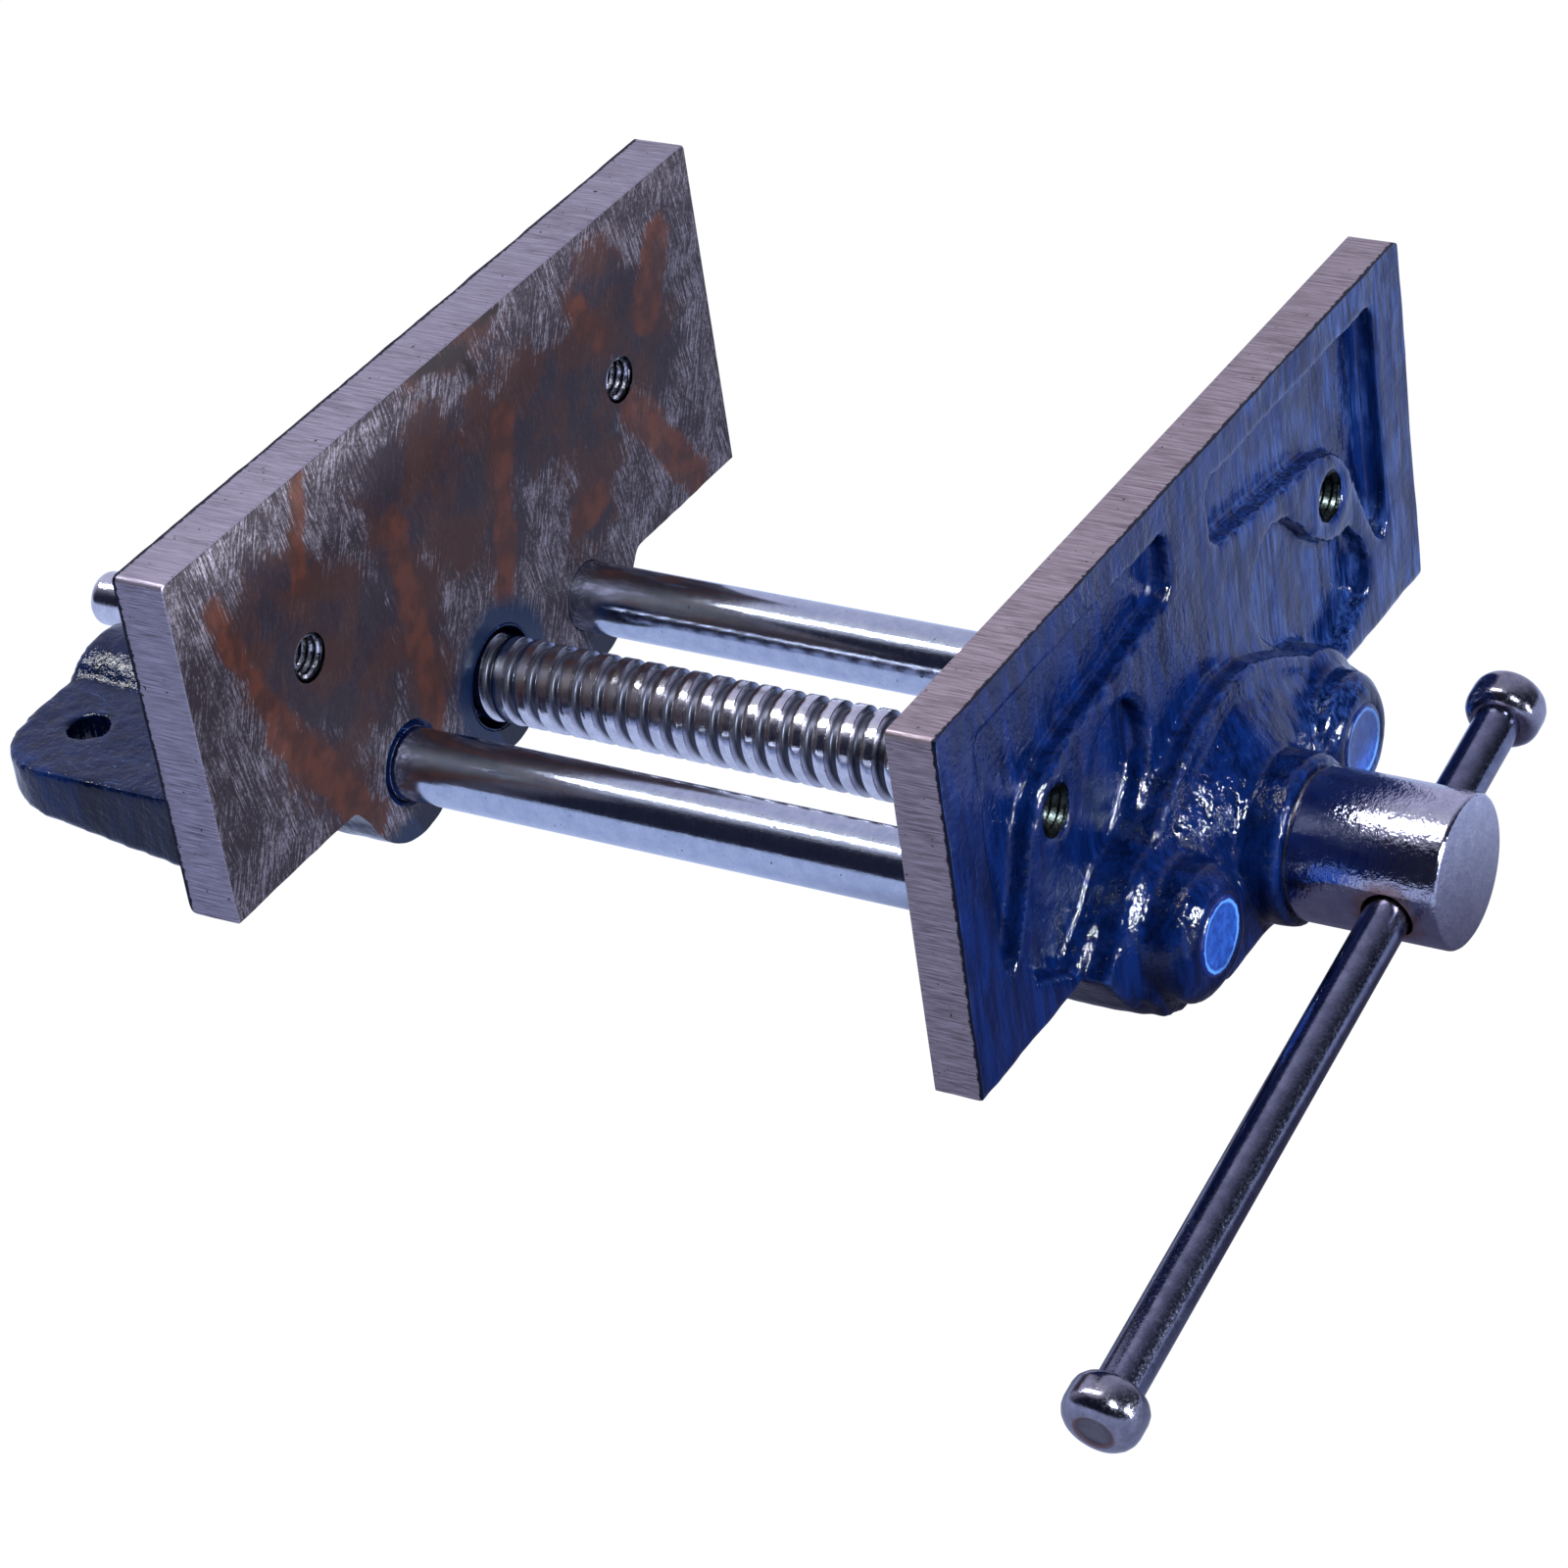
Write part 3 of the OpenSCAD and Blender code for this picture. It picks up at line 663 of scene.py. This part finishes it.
# ---- lead screw ----
PITCH, SCREW_R, ROOT_R = 5.08, 8.45, 6.65
JOURNAL_R = SCREW_R + 0.15
SHANK = 6.0
THREAD_START = FRONT_FACE + SHANK
THREAD_END = THREAD_START + 43 * PITCH
s, color, rough, bumps = steel("screw_steel", (0.50, 0.50, 0.58), (0.72, 0.73, 0.80), (0.10, 0.22), 0.035,
                               lines=(1, 1, 1))
off_axis = s.vector("LENGTH", s.vector("SUBTRACT", s.vector("MULTIPLY", s.at, (1, 0, 1)), (0, 0, AXIS_Z)))
# painted shade: the thread grooves are darkened, up to the thread's end
root_shade = s.step(off_axis, SCREW_R - 0.35, ROOT_R + 0.25)
root_shade = s.math("MULTIPLY", root_shade, s.step(s.y, THREAD_END + 2, THREAD_END - 1))
color = s.mix(s.math("MULTIPLY", root_shade, 0.90), color, (0.022, 0.026, 0.050))
rough = s.blend(root_shade, rough, 0.42)
screw_steel = s.finish(color, rough, bumps=bumps)


def runout(y):
    """The thread's height fades into the root at both ends."""
    return ROOT_R + (SCREW_R - ROOT_R) * min(1, max(0, (y - THREAD_START + 0.6) / 1.2),
                                             max(0, (THREAD_END - y + 1.5) / 3.0))


WORN = [(0.0, 0.0), (0.27, 0.0), (0.33, 0.10), (0.375, 0.86), (0.41, 1.0), (0.66, 0.985), (0.87, 1.0),
        (0.915, 0.88), (0.965, 0.10)]
# the CAD thread starts its first turn on +X
v, f = helix_tube(PITCH, (ROOT_R, SCREW_R), THREAD_START, THREAD_END, 0, AXIS_Z, WORN, 72, runout)
n = len(v)
ends = [turned([(0, 0), (0, JOURNAL_R - 0.3), (0.3, JOURNAL_R), (THREAD_START - 0.5 - screw_lo.y, JOURNAL_R),
                (THREAD_START - 0.5 - screw_lo.y, ROOT_R), (THREAD_START + 0.5 - screw_lo.y, ROOT_R - 0.02),
                (THREAD_START + 0.5 - screw_lo.y, 0)], Vector((0, screw_lo.y, AXIS_Z)), Y, 72)]
tail_r = 5.5
tail_length = screw_hi.y - THREAD_END + 0.5
ends.append(turned([(0, 0), (0, ROOT_R - 0.02), (1.6, ROOT_R - 0.1), (2.4, tail_r),
                    (tail_length - 2.2, tail_r)]
                   + [(tail_length - 2.2 * (1 - math.sin(t)), tail_r - 2.2 * (1 - math.cos(t)))
                      for t in (0.26, 0.52, 0.79, 1.05, 1.31, 1.57)]
                   + [(tail_length, 0)], Vector((0, THREAD_END - 0.5, AXIS_Z)), Y, 72))
for ev, ef in ends:
    f += [tuple(i + len(v) for i in face) for face in ef]
    v += ev
screw = piece("screw", v, f, "screw", [screw_steel], 50)
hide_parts("lead_screw")

# ---- screw head ----
HEAD_MIDDLE = KNOBS["left"] + HANDLE * (Vector((0, KNOBS["left"].y, AXIS_Z)) - KNOBS["left"]).dot(HANDLE)
s, color, rough, bumps = steel("head_steel", (0.40, 0.40, 0.52), (0.56, 0.56, 0.67), (0.08, 0.15), 0.15,
                               grain=1.3, lines=(8, 1, 8))
from_hole = s.vector("SUBTRACT", s.at, tuple(HEAD_MIDDLE))
along = s.vector("DOT_PRODUCT", from_hole, tuple(HANDLE))
radial = s.vector("LENGTH", s.vector("SUBTRACT", from_hole, s.vector("SCALE", tuple(HANDLE), scale=along)))
halo = s.math("ADD", radial, s.math("MULTIPLY", s.noise(2.2, 4, 0.7), 5))
rust = s.step(halo, 10.5, 7.2)
color = s.mix(s.math("MULTIPLY", rust, 0.62), color, (0.34, 0.12, 0.045))
# painted shade inside the handle hole
hole_shade = s.step(radial, 5.0, 4.75)
color = s.mix(hole_shade, color, (0.05, 0.030, 0.028))
head_steel = s.finish(color, s.blend(rust, rough, 0.34), bumps=bumps)
length = head_hi.y - head_lo.y
profile = [(0, 0), (0, HEAD_R - 0.9)] + [
    (0.9 * (1 - math.cos(t)), HEAD_R - 0.9 * (1 - math.sin(t))) for t in (0.4, 0.8, 1.2, 1.57)]
profile += [(length - 0.7, HEAD_R), (length - 0.25, HEAD_R - 0.2), (length, HEAD_R - 0.8), (length, 0)]
obj = loose("head_blank", outward(mesh_of([turned(profile, Vector((0, head_lo.y, AXIS_Z)), Y, 128)])))
drill = loose("drill", outward(mesh_of([rod(4.8, HEAD_MIDDLE - HANDLE * 30, HEAD_MIDDLE + HANDLE * 30)])))
cut = obj.modifiers.new("cut", "BOOLEAN")
cut.operation, cut.object, cut.solver = "DIFFERENCE", drill, "MANIFOLD"
soften = obj.modifiers.new("soften", "BEVEL")
soften.width, soften.segments = 0.35 * MM, 2
soften.limit_method, soften.angle_limit = "ANGLE", math.radians(32)
mesh = evaluated(obj)
bpy.data.objects.remove(drill)
head = finish_piece("head", mesh, "screw", [head_steel], 30)
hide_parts("screw_head")

# ---- handle ----
s, color, rough, bumps = steel("handle_steel", (0.12, 0.13, 0.20), (0.24, 0.25, 0.36), (0.13, 0.26),
                               0.03, speck=0.6)
handle_steel = s.finish(color, rough, bumps=bumps)
s, color, rough, bumps = steel("knob_steel", (0.20, 0.195, 0.25), (0.38, 0.37, 0.46), (0.12, 0.26),
                               0.03, speck=0.6)
from_middle = s.vector("SUBTRACT", s.at, tuple(HEAD_MIDDLE))
along = s.vector("DOT_PRODUCT", from_middle, tuple(HANDLE))
radial = s.vector("LENGTH", s.vector("SUBTRACT", from_middle, s.vector("SCALE", tuple(HANDLE), scale=along)))
seam = s.step(s.math("ABSOLUTE", s.math("SUBTRACT", radial, 3.4)), 0.7, 0.1)
peened = s.step(radial, 3.9, 3.0)
color = s.mix(s.math("MULTIPLY", peened, 0.6), color, (0.045, 0.030, 0.032))
color = s.mix(s.math("MULTIPLY", seam, s.noise(1.5)), color, (0.16, 0.05, 0.02))
knob_steel = s.finish(color, s.blend(peened, rough, 0.45), bumps=bumps)
handle_r = 4.2
span = (KNOBS["right"] - KNOBS["left"]).length
profile = [(3.6, 0), (3.6, handle_r)] + [(12 * k, handle_r) for k in range(1, 13)]
profile += [(span - 3.6, handle_r), (span - 3.6, 0)]
v, f = turned(profile, KNOBS["left"], HANDLE, 64)
handle = piece("handle", v, f, "handle", [handle_steel])
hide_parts("handle_bar")
for side, way in (("left", -1), ("right", 1)):
    profile = [(-4.3, 0), (-4.3, 3.9)]
    profile += [(-4.3 + 2.6 * (1 - math.cos(t)), 7 - 2.6 * (1 - math.sin(t)))
                for t in (0, 0.4, 0.8, 1.2, 1.57)]
    profile += [(4.3 - 3.4 * (1 - math.sin(t)), 7 - 3.4 * (1 - math.cos(t)))
                for t in (0.0, 0.3, 0.6, 0.9, 1.2, 1.45)]
    profile += [(4.3, 3.5), (4.05, 3.25), (3.95, 3.0), (4.1, 2.6), (4.22, 1.6), (4.28, 0)]
    v, f = turned(profile, KNOBS[side], HANDLE * way, 80)
    knob = piece(f"knob_{side}", v, f, "handle", [knob_steel], 50)
    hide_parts(f"handle_knob_{side}")

# ---- collar and the small CAD parts ----
s, color, rough, bumps = steel("dull_steel", (0.16, 0.15, 0.18), (0.30, 0.29, 0.33), (0.25, 0.42), 0.02)
dull_steel = s.finish(color, rough, bumps=bumps)
s, color, rough, bumps = steel("nut_bronze", (0.30, 0.17, 0.06), (0.48, 0.29, 0.11), (0.22, 0.40), 0.02)
bronze = s.finish(color, rough, bumps=bumps)
for node, m in (("screw_nut", bronze), ("nut_lock_screw", dull_steel), ("guide_bar_pins", dull_steel),
                ("thrust_washer", dull_steel), ("retaining_collar", dull_steel), ("collar_pin", dull_steel)):
    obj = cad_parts[node]
    if not obj.material_slots:
        obj.data.materials.append(m)
    for material_slot in obj.material_slots:
        material_slot.link = "OBJECT"
        material_slot.material = m
    obj.data.shade_smooth()
    obj.data.set_sharp_from_angle(angle=math.radians(30))

# ---- floor, light and camera ----
FLOOR_Z = min(cad_bounds[0].z, 0) - 0.001


def white_paper(name):
    """A white sheet that lights itself, so that nothing on it throws a shadow; it reflects a cool grey."""
    m = bpy.data.materials.new(name)
    m.use_nodes = True
    nodes, links = m.node_tree.nodes, m.node_tree.links
    nodes.clear()
    glow, out = nodes.new("ShaderNodeEmission"), nodes.new("ShaderNodeOutputMaterial")
    shade, path = nodes.new("ShaderNodeMix"), nodes.new("ShaderNodeLightPath")
    shade.data_type = "RGBA"
    # what the sheet throws back is dim under the front jaw, where the vice shades it
    coords, spread = nodes.new("ShaderNodeTexCoord"), nodes.new("ShaderNodeVectorMath")
    fade = nodes.new("ShaderNodeMapRange")
    bounce = nodes.new("ShaderNodeMix")
    spread.operation, fade.interpolation_type, bounce.data_type = "DISTANCE", "SMOOTHSTEP", "RGBA"
    links.new(coords.outputs["Object"], spread.inputs[0])
    spread.inputs[1].default_value = (-0.03, -0.245, FLOOR_Z)
    links.new(spread.outputs["Value"], fade.inputs[0])
    fade.inputs[1].default_value, fade.inputs[2].default_value = 0.04, 0.14
    links.new(fade.outputs[0], bounce.inputs[0])
    bounce.inputs[6].default_value = (0.10, 0.10, 0.17, 1)
    bounce.inputs[7].default_value = (0.60, 0.69, 0.98, 1)
    links.new(bounce.outputs[2], shade.inputs[6])
    shade.inputs[7].default_value = (1.02, 1.02, 1.02, 1)
    links.new(path.outputs["Is Camera Ray"], shade.inputs[0])
    links.new(shade.outputs[2], glow.inputs["Color"])
    links.new(glow.outputs[0], out.inputs["Surface"])
    return m


mesh = bpy.data.meshes.new("floor")
mesh.from_pydata([(x, y, FLOOR_Z) for x, y in ((-9, -9), (9, -9), (9, 9), (-9, 9))], [], [(0, 1, 2, 3)])
mesh.materials.append(white_paper("floor_white"))
floor = loose("floor", mesh)

world = bpy.data.worlds.new("studio")
bpy.context.scene.world = world
world.use_nodes = True
t = world.node_tree
background = t.nodes["Background"]
coords = t.nodes.new("ShaderNodeTexCoord")


def lobe(direction, low, high):
    """1 towards a direction, fading to 0."""
    dot = t.nodes.new("ShaderNodeVectorMath")
    dot.operation = "DOT_PRODUCT"
    t.links.new(coords.outputs["Generated"], dot.inputs[0])
    dot.inputs[1].default_value = Vector(direction).normalized()
    fade = t.nodes.new("ShaderNodeMapRange")
    fade.interpolation_type = "SMOOTHSTEP"
    t.links.new(dot.outputs["Value"], fade.inputs[0])
    fade.inputs[1].default_value, fade.inputs[2].default_value = low, high
    return fade.outputs[0]


def tinted(share, a, b):
    mix = t.nodes.new("ShaderNodeMix")
    mix.data_type = "RGBA"
    t.links.new(share, mix.inputs[0])
    for socket, v in ((mix.inputs[6], a), (mix.inputs[7], b)):
        if isinstance(v, bpy.types.NodeSocket):
            t.links.new(v, socket)
        else:
            socket.default_value = (*v, 1)
    return mix.outputs[2]


sky = tinted(lobe((0.82, 0.57, 0.45), 0.1, 0.95), (0.018, 0.020, 0.040), (0.66, 0.66, 0.86))
sky = tinted(lobe((0.0, 0.3, 1), 0.86, 0.97), sky, (0.75, 0.75, 0.85))
path = t.nodes.new("ShaderNodeLightPath")
sky = tinted(path.outputs["Is Camera Ray"], sky, (0.9, 0.9, 0.92))
t.links.new(sky, background.inputs["Color"])
background.inputs["Strength"].default_value = 1.0

centre_point = (cad_bounds[0] + cad_bounds[1]) / 2


def softbox(name, direction, distance, size, power, along, tint=(1, 1, 1)):
    """A rectangular lamp in this direction from the object; its long side lies along."""
    light = bpy.data.lights.new(name, "AREA")
    light.shape, light.size, light.size_y = "RECTANGLE", size[0], size[1]
    light.energy, light.color = power, tint
    obj = bpy.data.objects.new(name, light)
    bpy.context.scene.collection.objects.link(obj)
    way = Vector(direction).normalized()
    obj.location = centre_point + way * distance
    u = (Vector(along) - way * way.dot(Vector(along))).normalized()
    obj.rotation_mode = "QUATERNION"
    obj.rotation_quaternion = Matrix((u, way.cross(u), way)).transposed().to_quaternion()
    return obj


softbox("overhead", (-0.06, 0.40, 0.87), 1.1, (1.00, 0.10), 12, (0, 1, 0))
softbox("key", (-0.35, -0.66, 0.66), 1.2, (0.08, 0.05), 28, (0, 0, 1), (0.86, 0.93, 1))
softbox("low_front", (0.05, -0.98, 0.12), 0.9, (0.05, 0.09), 12, (1, 0, 0), (0.86, 0.93, 1))

camera_data = bpy.data.cameras.new("camera")
camera_data.lens, camera_data.sensor_width = 113.56, 36
camera_data.clip_start, camera_data.clip_end = 0.05, 50
camera = bpy.data.objects.new("camera", camera_data)
bpy.context.scene.collection.objects.link(camera)
AZIMUTH, ELEVATION, ROLL = (math.radians(a) for a in (-54.87, 32.60, -9.01))
back = Vector((math.sin(AZIMUTH) * math.cos(ELEVATION), -math.cos(AZIMUTH) * math.cos(ELEVATION),
               math.sin(ELEVATION)))
camera.location = (-0.63738, -0.56549, 0.47569)
camera.rotation_mode = "QUATERNION"
camera.rotation_quaternion = (-back).to_track_quat("-Z", "Y") @ Quaternion((0, 0, 1), ROLL)
bpy.context.scene.camera = camera
bpy.context.scene.view_settings.view_transform = "Standard"
